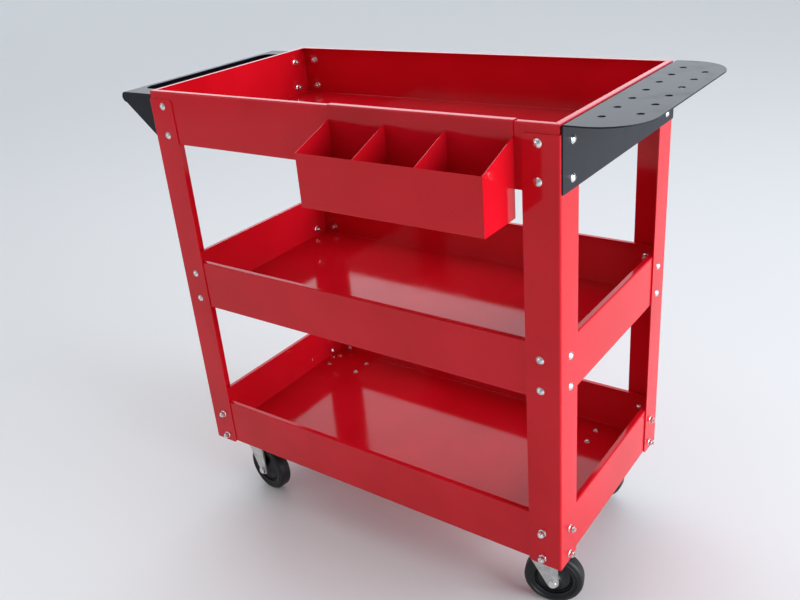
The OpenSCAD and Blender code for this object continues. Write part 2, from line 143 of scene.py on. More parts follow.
class Graph:
    """Node graph of a material or of the world."""

    def __init__(self, owner: bpy.types.ID, shader: str, space: str) -> None:
        """Starts the graph from the shader that a new material or world has.

        Args:
            owner: The material or world.
            shader: Name of its shader node.
            space: Coordinates that the patterns follow.
        """
        owner.use_nodes = True
        self.tree = owner.node_tree
        self.shader = self.tree.nodes[shader]
        self.place = self.node("ShaderNodeTexCoord", {}, {}, space)

    def node(
        self,
        kind: str,
        settings: dict[str, object],
        inputs: dict[str | int, Input],
        output: str | int = 0,
    ) -> Value:
        """Adds a node.

        Args:
            kind: Type name of the node.
            settings: Attributes that are set before the sockets.
            inputs: Constants or links by socket name or number.
            output: Socket that is handed back.

        Returns:
            The wrapped output socket.
        """
        made = self.tree.nodes.new(kind)
        for key, setting in settings.items():
            setattr(made, key, setting)
        for key, source in inputs.items():
            self._feed(made.inputs[key], source)
        return Value(self, made.outputs[output])

    def _feed(self, socket: bpy.types.NodeSocket, source: Input) -> None:
        """Links a value to a socket or sets a constant.

        Args:
            socket: The input socket.
            source: The value or constant.
        """
        if isinstance(source, Value):
            self.tree.links.new(source.socket, socket)
        elif isinstance(source, tuple) and len(source) == 3 and socket.type == "RGBA":
            socket.default_value = (*source, 1.0)
        else:
            socket.default_value = source

    def noise(self, size_mm: float, detail: float, stretch: Corner = (1, 1, 1)) -> Value:
        """Noise whose features have a given size.

        Args:
            size_mm: Size of a feature in millimetres.
            detail: Octaves of the noise.
            stretch: Scale of the pattern along each axis.

        Returns:
            A value about 0.5.
        """
        where = self.place
        if stretch != (1, 1, 1):
            where = self.node("ShaderNodeMapping", {}, {"Vector": self.place, "Scale": stretch})
        scale = 1.0 / (size_mm * MM)
        sockets = {"Vector": where, "Scale": scale, "Detail": detail}
        return self.node("ShaderNodeTexNoise", {}, sockets)

    def cells(self, size_mm: float) -> Value:
        """Voronoi cells of a given size.

        Args:
            size_mm: Size of a cell in millimetres.

        Returns:
            A colour for each cell.
        """
        sockets = {"Vector": self.place, "Scale": 1.0 / (size_mm * MM)}
        return self.node("ShaderNodeTexVoronoi", {}, sockets, "Color")

    def blend(self, share: Input, low: Input, high: Input) -> Value:
        """Mixes two colours.

        Args:
            share: Share of the second colour.
            low: First colour.
            high: Second colour.

        Returns:
            The mixed colour.
        """
        sockets = {0: share, 6: low, 7: high}
        return self.node("ShaderNodeMix", {"data_type": "RGBA"}, sockets, 2)

    def bump(self, height: Value, depth_mm: float, under: Value | None = None) -> Value:
        """Turns a height into a normal.

        Args:
            height: Height from 0 to 1.
            depth_mm: Depth that 1 stands for, in millimetres.
            under: Normal that this one is added to.

        Returns:
            The bent normal.
        """
        sockets: dict[str | int, Input] = {"Height": height, "Distance": depth_mm * MM}
        if under is not None:
            sockets["Normal"] = under
        return self.node("ShaderNodeBump", {}, sockets)

    def set(self, **values: Input) -> None:
        """Feeds the shader's sockets.

        Args:
            values: Socket names with underscores for spaces.
        """
        for name, source in values.items():
            self._feed(self.shader.inputs[name.replace("_", " ")], source)



# ---------- finishes ----------


@dataclass(frozen=True)
class Finish:
    """Surface of a material slot."""

    name: str
    slot: Slot

    def make(self) -> bpy.types.Material:
        """Makes the finish's material.

        Returns:
            The material.
        """
        material = bpy.data.materials.new(self.name)
        self.dress(Graph(material, "Principled BSDF", "Object"))
        return material

    def dress(self, g: Graph) -> None:
        """Adds the pattern of the finish.

        Args:
            g: Graph of the material.
        """
        raise NotImplementedError


@dataclass(frozen=True)
class Enamel(Finish):
    """Glossy baked enamel on sheet steel."""

    face: Corner
    thin: Corner
    gloss: float = 0.09

    def dress(self, g: Graph) -> None:
        """Adds orange peel, soft waves and faint handling marks.

        Args:
            g: Graph of the material.
        """
        broad = g.noise(170, 2)
        fleck = g.noise(1.6, 1).ramp(0.72, 0.8)
        tone = g.blend(broad.ramp(0.3, 0.7), self.face, self.thin)
        tone = g.blend(fleck * 0.12, tone, tuple(min(1.0, c * 1.5 + 0.02) for c in self.face))
        smudge = g.noise(60, 4, (1, 1, 1.6)).ramp(0.48, 0.78)
        rubs = g.noise(14, 3, (0.25, 1, 1)).ramp(0.6, 0.8)
        dust = g.noise(0.9, 1).ramp(0.7, 0.76)
        rough = self.gloss + smudge * 0.055 + rubs * 0.03 + dust * 0.25
        wave = g.bump(g.noise(120, 1), 0.32)
        peel = g.bump(g.noise(2.6, 1), 0.012, wave)
        g.set(Base_Color=tone, Roughness=rough, Normal=peel, IOR=1.34)


@dataclass(frozen=True)
class PowderCoat(Finish):
    """Semi-gloss textured powder coat."""

    face: Corner
    worn: Corner

    def dress(self, g: Graph) -> None:
        """Adds a fine pebble and slightly rubbed patches.

        Args:
            g: Graph of the material.
        """
        rub = g.noise(45, 4).ramp(0.5, 0.8)
        grit = g.noise(0.8, 1).ramp(0.66, 0.74)
        tone = g.blend(rub * 0.5, self.face, self.worn)
        tone = g.blend(grit * 0.25, tone, self.worn)
        rough = 0.36 + rub * 0.08 + grit * 0.1
        wave = g.bump(g.noise(110, 1), 0.18)
        pebble = g.bump(g.noise(0.9, 2), 0.02, wave)
        g.set(Base_Color=tone, Roughness=rough, Normal=pebble, IOR=1.32)


@dataclass(frozen=True)
class Plating(Finish):
    """Zinc plate on steel."""

    bright: Corner
    dull: Corner
    gloss: float
    spangle_mm: float

    def dress(self, g: Graph) -> None:
        """Adds crystal patches, fine scratches and dull spots.

        Args:
            g: Graph of the material.
        """
        patch = g.node("ShaderNodeSeparateColor", {}, {0: g.cells(self.spangle_mm)})
        cloud = g.noise(self.spangle_mm * 3, 3).ramp(0.35, 0.7)
        mask = patch * 0.45 + cloud * 0.55
        tone = g.blend(mask, self.bright, self.dull)
        scratch = g.noise(0.5, 2, (1, 0.06, 1)).ramp(0.58, 0.72)
        rough = self.gloss + mask * 0.12 + scratch * 0.1
        grain = g.bump(g.noise(0.6, 2), 0.008)
        g.set(Base_Color=tone, Metallic=1.0, Roughness=rough, Normal=grain)


@dataclass(frozen=True)
class Moulded(Finish):
    """Moulded black plastic or rubber."""

    face: Corner
    dusty: Corner
    gloss: float
    pebble_mm: float

    def dress(self, g: Graph) -> None:
        """Adds a moulded grain and a film of workshop dust.

        Args:
            g: Graph of the material.
        """
        film = g.noise(22, 4).ramp(0.42, 0.75)
        specks = g.noise(1.4, 2).ramp(0.64, 0.72)
        tone = g.blend(film * 0.6 + specks * 0.2, self.face, self.dusty)
        rough = self.gloss + film * 0.14
        coarse = g.bump(g.noise(9, 2), 0.05)
        grain = g.bump(g.noise(self.pebble_mm, 2), 0.03, coarse)
        g.set(Base_Color=tone, Roughness=rough, Normal=grain, IOR=1.42)


RED = Enamel("red_baked_enamel", Slot.ENAMEL, (0.66, 0.006, 0.017), (0.57, 0.004, 0.011))
BLACK = PowderCoat("black_powder_coating", Slot.POWDER, (0.007, 0.007, 0.012), (0.016, 0.017, 0.022))
BRIGHT = Plating("bright_zinc_plate", Slot.BRIGHT, (0.86, 0.86, 0.88), (0.66, 0.65, 0.62), 0.2, 3.0)
SATIN = Plating("satin_zinc_plate", Slot.SATIN, (0.68, 0.67, 0.66), (0.47, 0.46, 0.44), 0.34, 5.0)
PLASTIC = Moulded(
    "black_wheel_plastic", Slot.PLASTIC, (0.006, 0.006, 0.007), (0.02, 0.02, 0.019), 0.32, 0.7
)
RUBBER = Moulded(
    "hard_black_rubber", Slot.RUBBER, (0.006, 0.006, 0.006), (0.022, 0.021, 0.018), 0.46, 1.1
)


# ---------- mesh work, all in millimetres ----------


def everything(bm: bmesh.types.BMesh) -> list:
    """Returns all vertices, edges and faces."""
    return [*bm.verts, *bm.edges, *bm.faces]


def tidy(bm: bmesh.types.BMesh) -> bmesh.types.BMesh:
    """Merges doubles and turns the faces outwards.

    Args:
        bm: The closed mesh.

    Returns:
        The same mesh.
    """
    bmesh.ops.remove_doubles(bm, verts=bm.verts[:], dist=0.002)
    bmesh.ops.recalc_face_normals(bm, faces=bm.faces[:])
    return bm


def through_object(
    bm: bmesh.types.BMesh, dress: Callable[[bpy.types.Object], None]
) -> bmesh.types.BMesh:
    """Applies modifiers to a mesh through a passing object.

    Args:
        bm: The mesh, which is used up.
        dress: Adds the modifiers.

    Returns:
        The changed mesh.
    """
    mesh = bpy.data.meshes.new("work")
    bm.to_mesh(mesh)
    bm.free()
    work = bpy.data.objects.new("work", mesh)
    bpy.context.scene.collection.objects.link(work)
    dress(work)
    graph = bpy.context.evaluated_depsgraph_get()
    done = bpy.data.meshes.new_from_object(work.evaluated_get(graph))
    result = bmesh.new()
    result.from_mesh(done)
    bpy.data.objects.remove(work)
    bpy.data.meshes.remove(mesh)
    bpy.data.meshes.remove(done)
    return result


def carve(
    bm: bmesh.types.BMesh, tool: bmesh.types.BMesh, keep_inside: bool = False
) -> bmesh.types.BMesh:
    """Cuts a tool out of a solid.

    Args:
        bm: The solid, which is used up.
        tool: The cutting solids, which are used up.
        keep_inside: Keeps what lies inside the tool instead.

    Returns:
        What is left.
    """
    mesh = bpy.data.meshes.new("tool")
    tool.to_mesh(mesh)
    tool.free()
    cutter = bpy.data.objects.new("tool", mesh)
    bpy.context.scene.collection.objects.link(cutter)

    def dress(work: bpy.types.Object) -> None:
        """Adds the Boolean modifier.

        Args:
            work: The passing object.
        """
        cut = work.modifiers.new("cut", "BOOLEAN")
        cut.operation = "INTERSECT" if keep_inside else "DIFFERENCE"
        cut.solver = "EXACT"
        cut.object = cutter

    result = through_object(bm, dress)
    bpy.data.objects.remove(cutter)
    bpy.data.meshes.remove(mesh)
    return result


def copies(master: bmesh.types.BMesh, places: Iterable[Matrix]) -> bmesh.types.BMesh:
    """Repeats a mesh.

    Args:
        master: The mesh, which is used up.
        places: One transform for each copy.

    Returns:
        One mesh of all the copies.
    """
    mesh = bpy.data.meshes.new("master")
    master.to_mesh(mesh)
    master.free()
    result = bmesh.new()
    for place in places:
        copy = mesh.copy()
        copy.transform(place)
        result.from_mesh(copy)
        bpy.data.meshes.remove(copy)
    bpy.data.meshes.remove(mesh)
    return result


def joined(*parts: bmesh.types.BMesh) -> bmesh.types.BMesh:
    """Puts meshes together.

    Args:
        parts: The meshes, which are used up.

    Returns:
        One mesh of all of them.
    """
    result = bmesh.new()
    for part in parts:
        mesh = bpy.data.meshes.new("part")
        part.to_mesh(mesh)
        part.free()
        result.from_mesh(mesh)
        bpy.data.meshes.remove(mesh)
    return result


def moved(bm: bmesh.types.BMesh, place: Matrix) -> bmesh.types.BMesh:
    """Transforms a mesh and returns it."""
    bmesh.ops.transform(bm, matrix=place, verts=bm.verts[:])
    return bm


def turned(profile: Sequence[Point], steps: int = 40, closed: bool = False) -> bmesh.types.BMesh:
    """Spins a profile round the Z axis.

    Args:
        profile: Radius and height of each point.
        steps: Number of facets.
        closed: Joins the last point to the first, for a ring.

    Returns:
        The turned solid.
    """
    bm = bmesh.new()
    points = [bm.verts.new((r, 0, z)) for r, z in profile]
    for a, b in zip(points, points[1:]):
        bm.edges.new((a, b))
    if closed:
        bm.edges.new((points[-1], points[0]))
    bmesh.ops.spin(
        bm,
        geom=[*bm.verts, *bm.edges],
        cent=(0, 0, 0),
        axis=(0, 0, 1),
        dvec=(0, 0, 0),
        angle=TAU,
        steps=steps,
        use_merge=True,
        use_duplicate=False,
    )
    return tidy(bm)


def arc(centre: Point, radius: float, start: float, end: float, steps: int = 6) -> list[Point]:
    """Points along an arc.

    Args:
        centre: Centre of the arc.
        radius: Its radius.
        start: First angle in degrees.
        end: Last angle in degrees.
        steps: Number of chords.

    Returns:
        The points, both ends included.
    """
    angles = [math.radians(start + (end - start) * i / steps) for i in range(steps + 1)]
    return [(centre[0] + radius * math.cos(a), centre[1] + radius * math.sin(a)) for a in angles]


def rod(radius: float, low: float, high: float, steps: int = 28) -> bmesh.types.BMesh:
    """Closed cylinder on the Z axis.

    Args:
        radius: Radius of the cylinder.
        low: Height of its lower end.
        high: Height of its upper end.
        steps: Number of facets.

    Returns:
        The cylinder.
    """
    bm = bmesh.new()
    bmesh.ops.create_cone(
        bm,
        cap_ends=True,
        segments=steps,
        radius1=radius,
        radius2=radius,
        depth=high - low,
        matrix=Matrix.Translation((0, 0, (low + high) / 2)),
    )
    return bm


def block(size: Corner, place: Matrix) -> bmesh.types.BMesh:
    """Box with a given size and place.

    Args:
        size: Its length, width and height.
        place: Transform of its middle.

    Returns:
        The box.
    """
    bm = bmesh.new()
    bmesh.ops.create_cube(bm, size=1.0, matrix=place @ Matrix.Diagonal((*size, 1.0)))
    return bm


@dataclass(frozen=True)
class Run:
    """Straight stretch of a folded sheet."""

    length: float


@dataclass(frozen=True)
class Bend:
    """Fold of a sheet: its turn in degrees, left positive, and its drawn radius."""

    turn: float
    radius: float
    steps: int = 6

    @property
    def length(self) -> float:
        """Length of the drawn arc."""
        return abs(math.radians(self.turn)) * self.radius


@dataclass(frozen=True)
class Path:
    """Side view of a folded sheet, drawn along one of its faces."""

    start: Point
    heading: float
    steps: tuple[Run | Bend, ...]
    side: Side

    @property
    def length(self) -> float:
        """Developed length of the path."""
        return sum(s.length for s in self.steps)

    def cuts(self) -> list[float]:
        """Finds where the flat sheet is divided for its folds.

        Returns:
            The developed lengths.
        """
        result, at = [], 0.0
        for step in self.steps:
            if isinstance(step, Bend):
                result += [at + step.length * i / step.steps for i in range(step.steps + 1)]
            at += step.length
        return result

    def at(self, v: float) -> tuple[float, float, float]:
        """Place and heading at a developed length.

        Args:
            v: Length from the start.

        Returns:
            The two coordinates and the heading in radians.
        """
        a, b = self.start
        h = math.radians(self.heading)
        for n, step in enumerate(self.steps):
            last = n == len(self.steps) - 1
            part = v if last else min(v, step.length)
            if isinstance(step, Run):
                a, b = a + part * math.cos(h), b + part * math.sin(h)
            else:
                sign = math.copysign(1, step.turn)
                ca, cb = a - sign * step.radius * math.sin(h), b + sign * step.radius * math.cos(h)
                h += sign * part / step.radius
                a, b = ca + sign * step.radius * math.sin(h), cb - sign * step.radius * math.cos(h)
            v -= part
            if v <= 1e-9:
                break
        return a, b, h


Placer = Callable[[float, float, float], Vector]


@dataclass
class Blank:
    """Flat sheet outline with rounded corners and holes."""

    corners: list[Corner]
    holes: list[Corner] = field(default_factory=list)
    slots: list[list[Corner]] = field(default_factory=list)

    @staticmethod
    def _outline(bm: bmesh.types.BMesh, corners: Sequence[Corner]) -> None:
        """Adds a closed outline whose corners are rounded.

        Args:
            bm: Mesh that the outline is added to.
            corners: Two coordinates and a radius for each corner.
        """
        loop = [bm.verts.new((u, v, 0)) for u, v, _ in corners]
        bm.faces.new(loop)
        for radius in sorted({r for *_, r in corners if r > 0}):
            picked = [p for p, (*_, r) in zip(loop, corners) if r == radius]
            bmesh.ops.bevel(
                bm,
                geom=picked,
                offset=radius,
                offset_type="OFFSET",
                affect="VERTICES",
                segments=6 if radius < 30 else 18,
                profile=0.5,
                material=-1,
            )
        bmesh.ops.delete(bm, geom=bm.faces[:], context="FACES_ONLY")

    def flat(self, cuts: Sequence[float] = ()) -> bmesh.types.BMesh:
        """Fills the outline.

        Args:
            cuts: Heights at which the sheet is divided for its folds.

        Returns:
            The flat sheet, facing up.
        """
        bm = bmesh.new()
        self._outline(bm, self.corners)
        for slot in self.slots:
            self._outline(bm, slot)
        for u, v, r in self.holes:
            place = Matrix.Translation((u, v, 0))
            bmesh.ops.create_circle(bm, segments=28, radius=r, matrix=place)
        for cut in cuts:
            self._divide(bm, cut)
        bmesh.ops.triangle_fill(
            bm, use_beauty=True, use_dissolve=False, edges=bm.edges[:], normal=(0, 0, 1)
        )
        for cut in cuts:
            self._divide(bm, cut)
        return bm

    @staticmethod
    def _divide(bm: bmesh.types.BMesh, height: float) -> None:
        """Cuts edges and faces at one height.

        Args:
            bm: The flat sheet.
            height: Where it is cut.
        """
        bmesh.ops.bisect_plane(
            bm, geom=everything(bm), dist=1e-3, plane_co=(0, height, 0), plane_no=(0, 1, 0)
        )

    def folded(self, path: Path, place: Placer, thickness: float) -> bmesh.types.BMesh:
        """Folds the sheet along a path and gives it its thickness.

        Args:
            path: Side view of the folds.
            place: Puts length, reach and height into the cart's space.
            thickness: Thickness of the sheet.

        Returns:
            The folded sheet.
        """
        bm = self.flat(path.cuts())
        face = max(bm.faces, key=lambda f: f.calc_area())
        middle = face.calc_center_median()
        a, b, h = path.at(middle.y)
        lean = math.pi / 2 * path.side.value
        inward = place(middle.x, a + math.cos(h + lean), b + math.sin(h + lean))
        inward = inward - place(middle.x, a, b)
        for vert in bm.verts:
            a, b, _ = path.at(vert.co.y)
            vert.co = place(vert.co.x, a, b)
        bm.normal_update()
        if face.normal.dot(inward) > 0:
            bmesh.ops.reverse_faces(bm, faces=bm.faces[:])
        return thickened(bm, thickness)

    def plate(self, thickness: float, place: Matrix) -> bmesh.types.BMesh:
        """Flat plate between zero and its thickness below.

        Args:
            thickness: Thickness of the plate.
            place: Transform from the outline's plane.

        Returns:
            The plate.
        """
        return moved(thickened(self.flat(), thickness), place)


def thickened(bm: bmesh.types.BMesh, thickness: float) -> bmesh.types.BMesh:
    """Gives a skin a thickness behind its faces.

    Args:
        bm: The skin, which is used up.
        thickness: Thickness of the sheet.

    Returns:
        The closed sheet.
    """

    def dress(work: bpy.types.Object) -> None:
        """Adds the Solidify modifier.

        Args:
            work: The passing object.
        """
        shell = work.modifiers.new("shell", "SOLIDIFY")
        shell.thickness = thickness
        shell.offset = -1.0
        shell.use_even_offset = True
        shell.use_quality_normals = True

    return through_object(bm, dress)


# ---------- the cart's measures ----------


@dataclass(frozen=True)
class Layout:
    """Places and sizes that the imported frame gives, in millimetres."""

    middle: Point
    length: float
    width: float
    rim: float
    tray_length: float
    tray_width: float
    tray_height: float
    floors: dict[str, float]
    post_low: float
    post_high: float

    @staticmethod
    def read() -> "Layout":
        """Reads the layout from the boxes of the frame's nodes.

        Returns:
            The layout.
        """
        lo, hi = (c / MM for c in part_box("tray_top"))
        post, _ = (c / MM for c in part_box("post_front_left"))
        _, post_top = (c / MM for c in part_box("post_back_right"))
        floors = {k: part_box(f"tray_{k}")[0].z / MM for k in ("top", "middle", "bottom")}
        return Layout(
            middle=((lo.x + hi.x) / 2, (lo.y + hi.y) / 2),
            length=post_top.x - post.x,
            width=post_top.y - post.y,
            rim=hi.z,
            tray_length=hi.x - lo.x,
            tray_width=hi.y - lo.y,
            tray_height=hi.z - lo.z,
            floors=floors,
            post_low=post.z,
            post_high=post_top.z,
        )


@dataclass
class Workshop:
    """Makes finished objects out of meshes in the cart's own millimetres."""

    layout: Layout
    paints: dict[str, bpy.types.Material] = field(default_factory=dict)

    def material(self, finish: Finish) -> bpy.types.Material:
        """Finds or makes the material of a finish.

        Args:
            finish: The finish.

        Returns:
            Its material.
        """
        if finish.name not in self.paints:
            self.paints[finish.name] = finish.make()
        return self.paints[finish.name]

    def finish(
        self,
        name: str,
        bm: bmesh.types.BMesh,
        finish: Finish,
        body: str,
        node: str,
        edge: float = 0.0,
    ) -> None:
        """Turns a mesh into a finished piece.

        Args:
            name: Name of the piece.
            bm: Its mesh in millimetres, which is used up.
            finish: Its finish.
            body: CAD body that it rides on.
            node: CAD node that it replaces.
            edge: Radius of its rounded edges in millimetres, or 0.
        """
        x, y = self.layout.middle
        moved(bm, Matrix.Diagonal((MM, MM, MM, 1.0)) @ Matrix.Translation((x, y, 0)))
        mesh = bpy.data.meshes.new(name)
        bm.to_mesh(mesh)
        bm.free()
        mesh.shade_smooth()
        mesh.set_sharp_from_angle(angle=SHARP)
        piece = bpy.data.objects.new(name, mesh)
        bpy.context.scene.collection.objects.link(piece)
        if edge > 0:
            bevel = piece.modifiers.new("edges", "BEVEL")
            bevel.width = edge * MM
            bevel.segments = 2
            bevel.limit_method = "ANGLE"
            bevel.angle_limit = SHARP
            bevel.use_clamp_overlap = True
            bevel.miter_outer = "MITER_ARC"
        even = piece.modifiers.new("normals", "WEIGHTED_NORMAL")
        even.keep_sharp = True
        mesh.materials.append(self.material(finish))
        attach(piece, body)
        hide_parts(node)
        LOG.info("%s rides on %s, %d faces", name, body, len(mesh.polygons))


def facing(direction: Corner) -> Matrix:
    """Returns the turn that brings the Z axis to a direction."""
    return Vector(direction).to_track_quat("Z", "Y").to_matrix().to_4x4()


# ---------- fasteners ----------


@dataclass
class Fasteners:
    """Round-head screws with cross recesses, and flanged hex nuts."""

    shop: Workshop
    shank: float = 3.0
    head_radius: float = 6.2
    head_height: float = 3.6
    inset: float = 31.5
    drop: float = 25.0
    pitch: float = 50.0
    shift: float = 6.0
    sheet: float = 1.2
    post: float = 2.0
    handle: float = 2.0
    hole: float = 3.3
    flange: float = 1.2
    nut: float = 5.0
    across_flats: float = 10.0
    tail: float = 3.0
    valley: float = 0.55

    @property
    def through(self) -> float:
        """Thickness of a post and a tray wall together."""
        return self.post + self.sheet

    def rows(self, level: str) -> list[float]:
        """Heights of a tray's screws above its floor, the upper row first."""
        top = self.shop.layout.tray_height - self.drop - (self.shift if level == "bottom" else 0)
        return [top, top - self.pitch]

    def thread(self, radius: float, low: float, high: float) -> bmesh.types.BMesh:
        """Threaded rod along the Z axis.

        Args:
            radius: Outer radius of the thread.
            low: Height of its lower end.
            high: Height of its upper end.

        Returns:
            The closed thread.
        """
        step, facets = 1.0, 18
        turns = math.ceil(high - low) + 2
        root = radius - self.valley
        bm = bmesh.new()
        start = low - step
        line = [(root, 0.0), (root, 0.12), (radius, 0.44), (radius, 0.56), (root, 0.88), (root, 1.0)]
        points = [bm.verts.new((r, 0, start + z * step)) for r, z in line]
        for a, b in zip(points, points[1:]):
            bm.edges.new((a, b))
        bmesh.ops.spin(
            bm,
            geom=[*bm.verts, *bm.edges],
            cent=(0, 0, 0),
            axis=(0, 0, 1),
            dvec=(0, 0, step / facets),
            angle=TAU * turns,
            steps=facets * turns,
            use_merge=False,
            use_duplicate=False,
        )
        bmesh.ops.remove_doubles(bm, verts=bm.verts[:], dist=0.01)
        for height, keep_above in ((low, True), (high, False)):
            bmesh.ops.bisect_plane(
                bm,
                geom=everything(bm),
                dist=1e-3,
                plane_co=(0, 0, height),
                plane_no=(0, 0, 1),
                clear_inner=keep_above,
                clear_outer=not keep_above,
            )
        bmesh.ops.holes_fill(bm, edges=[e for e in bm.edges if e.is_boundary], sides=0)
        return tidy(bm)

    def screw(self, grip: float) -> bmesh.types.BMesh:
        """Screw whose head sits on zero and whose shank points down.

        Args:
            grip: Length below the head.

        Returns:
            The screw.
        """
        dome = (self.head_radius**2 + self.head_height**2) / (2 * self.head_height)
        low = math.degrees(math.asin((self.valley - self.head_height + dome) / dome))
        profile = [(0.0, self.head_height)]
        profile += arc((0, self.head_height - dome), dome, 88, low, 9)
        profile += [(self.head_radius, 0.3), (self.head_radius - 0.15, 0.0)]
        bare = min(4.0, grip / 3)
        profile += [(self.shank, 0.0), (self.shank, -bare), (0.0, -bare)]
        head = turned(profile, 36)
        for turn in (0, math.pi / 2):
            bar = block((6.4, 1.25, 3.4), Matrix.Translation((0, 0, self.head_height + 0.1)))
            foot = [v for v in bar.verts if v.co.z < self.head_height]
            bmesh.ops.scale(bar, vec=(0.42, 0.7, 1), verts=foot)
            head = carve(head, moved(bar, Matrix.Rotation(turn, 4, "Z")))
        tip = self.thread(self.shank, -grip, 0.3 - bare)
        return joined(head, tip)

    def hex_body(self, flats: float, height: float, bore: float) -> bmesh.types.BMesh:
        """Hexagon on zero whose corners are turned off at the top.

        Args:
            flats: Distance across the flats.
            height: Height of the hexagon.
            bore: Radius of its bore, or 0.

        Returns:
            The hexagon.
        """
        corner = flats / 2 / math.cos(math.pi / 6)
        prism = rod(corner, 0, height, 6)
        top = height + 0.02
        cone = turned(
            [
                (0, -1), (corner + 1, -1), (corner + 0.6, height * 0.62), (flats / 2 * 0.97, top),
                (0, top),
            ],
            48,
        )
        prism = carve(prism, cone, keep_inside=True)
        if bore > 0:
            prism = carve(prism, rod(bore, -1, height + 1))
        return prism

    def flange_nut(self) -> bmesh.types.BMesh:
        """Nut whose flange sits on zero and whose body points up.

        Returns:
            The nut.
        """
        flange = turned(
            [(3.1, 0.05), (6.3, 0.0), (6.6, 0.25), (6.5, 0.6), (5.0, 1.5), (3.1, 1.5)], 36, closed=True
        )
        body = self.hex_body(self.across_flats, self.nut, self.shank + 0.05)
        return joined(flange, moved(body, Matrix.Translation((0, 0, self.flange))))

    def places(self, heights: Sequence[float], end_out: float, side_out: float) -> list[Matrix]:
        """Places of one tray's sixteen screws, each at its own angle, Z away from the cart.

        Args:
            heights: Heights of the screws.
            end_out: Distance of the ends' places beyond the posts.
            side_out: Distance of the sides' places beyond the posts.

        Returns:
            The transforms, ends first at each corner.
        """
        made = []
        lay = self.shop.layout
        for sx in (-1, 1):
            for sy in (-1, 1):
                for n, z in enumerate(heights):
                    x, y = sx * (lay.length / 2 + end_out), sy * (lay.width / 2 - self.inset)
                    spin = Matrix.Rotation(0.7 * n + 1.1 * sx + 0.45 * sy + z, 4, "Z")
                    made.append(Matrix.Translation((x, y, z)) @ facing((sx, 0, 0)) @ spin)
                    x, y = sx * (lay.length / 2 - self.inset), sy * (lay.width / 2 + side_out)
                    made.append(Matrix.Translation((x, y, z)) @ facing((0, sy, 0)) @ spin)
        return made

    def build(self) -> None:
        """Makes the screws and nuts of the three trays."""
        flip = Matrix.Rotation(math.pi, 4, "X")
        grip = self.through + self.flange + self.nut + self.tail
        for level, floor in self.shop.layout.floors.items():
            heights = [floor + z for z in self.rows(level)]
            out = self.handle if level == "top" else 0.0
            inner = [m @ flip for m in self.places(heights, -self.through, -self.through)]
            outer = self.places(heights, out, 0)
            heads, nuts = (inner, outer) if level == "bottom" else (outer, inner)
            at_ends = copies(self.screw(grip + out), heads[0::2])
            at_sides = copies(self.screw(grip), heads[1::2])
            self.shop.finish(
                f"{level}_tray_screws", joined(at_ends, at_sides), BRIGHT, "cart", f"{level}_tray_bolts"
            )
            self.shop.finish(
                f"{level}_tray_flange_nuts", copies(self.flange_nut(), nuts), BRIGHT, "cart",
                f"{level}_tray_nuts",
            )


# ---------- sheet-metal parts ----------


@dataclass
class Tray:
    """Open tray folded from one sheet, its rim turned inwards."""

    shop: Workshop
    level: str
    thickness: float = 1.2
    rim: float = 9.0
    fold: float = 2.6
    mitre: Corner = (15.0, 0.45, 0.7)

    def skin(self) -> bmesh.types.BMesh:
        """Outer skin of the tray with all its folds.

        Returns:
            The skin.
        """
        lay = self.shop.layout
        size = (lay.tray_length, lay.tray_width, lay.tray_height)
        bm = block(size, Matrix.Translation((0, 0, lay.tray_height / 2)))
        folds = bm.edges[:]
        lid = max(bm.faces, key=lambda f: f.calc_center_median().z)
        bmesh.ops.inset_region(bm, faces=[lid], thickness=self.rim, use_even_offset=True)
        bmesh.ops.delete(bm, geom=[lid], context="FACES_ONLY")
        bmesh.ops.bevel(
            bm, geom=folds, offset=self.fold, offset_type="OFFSET", affect="EDGES",
            segments=5, profile=0.5, material=-1,
        )
        bmesh.ops.recalc_face_normals(bm, faces=bm.faces[:])
        return bm

    def cutters(self) -> bmesh.types.BMesh:
        """Solids that make the screw holes and the mitre grooves.

        Returns:
            All of the solids.
        """
        lay = self.shop.layout
        kit = Fasteners(self.shop)
        walls = kit.places(kit.rows(self.level), -kit.through, -kit.through)
        tools = [copies(rod(kit.hole, -8, 8, 20), walls)]
        for sx in (-1, 1):
            for sy in (-1, 1):
                x, y = (size / 2 - self.rim / 2 for size in (lay.tray_length, lay.tray_width))
                place = Matrix.Translation((sx * x, sy * y, lay.tray_height))
                place = place @ Matrix.Rotation(math.pi / 4 * sx * sy, 4, "Z")
                tools.append(block(self.mitre, place))
        if self.level == "bottom":
            floor = [Matrix.Translation((x, y, 0)) for x, y in plate_screws(caster_centres(lay))]
            tools.append(copies(rod(kit.hole, -4, 4, 20), floor))
        return joined(*tools)

    def build(self) -> None:
        """Makes the tray."""
        body = thickened(self.skin(), self.thickness)
        body = carve(body, self.cutters())
        body = moved(body, Matrix.Translation((0, 0, self.shop.layout.floors[self.level])))
        self.shop.finish(
            f"{self.level}_tray_shell", body, RED, "cart", f"tray_{self.level}", edge=0.25
        )


def caster_centres(lay: Layout) -> list[Point]:
    """Finds the swivel axes from the boxes of their pins.

    Args:
        lay: The cart's measures.

    Returns:
        The axes' places in the cart's own millimetres.
    """
    result = []
    for key in CASTERS:
        lo, hi = (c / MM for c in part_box(f"caster_kingpin_{key}"))
        result.append(((lo.x + hi.x) / 2 - lay.middle[0], (lo.y + hi.y) / 2 - lay.middle[1]))
    return result


def plate_screws(centres: Sequence[Point]) -> list[Point]:
    """Finds the four screws of each caster plate.

    Args:
        centres: Middles of the plates.

    Returns:
        The screws' places.
    """
    x, y = PLATE_SCREW
    return [(cx + dx, cy + dy) for cx, cy in centres for dx in (-x, x) for dy in (-y, y)]


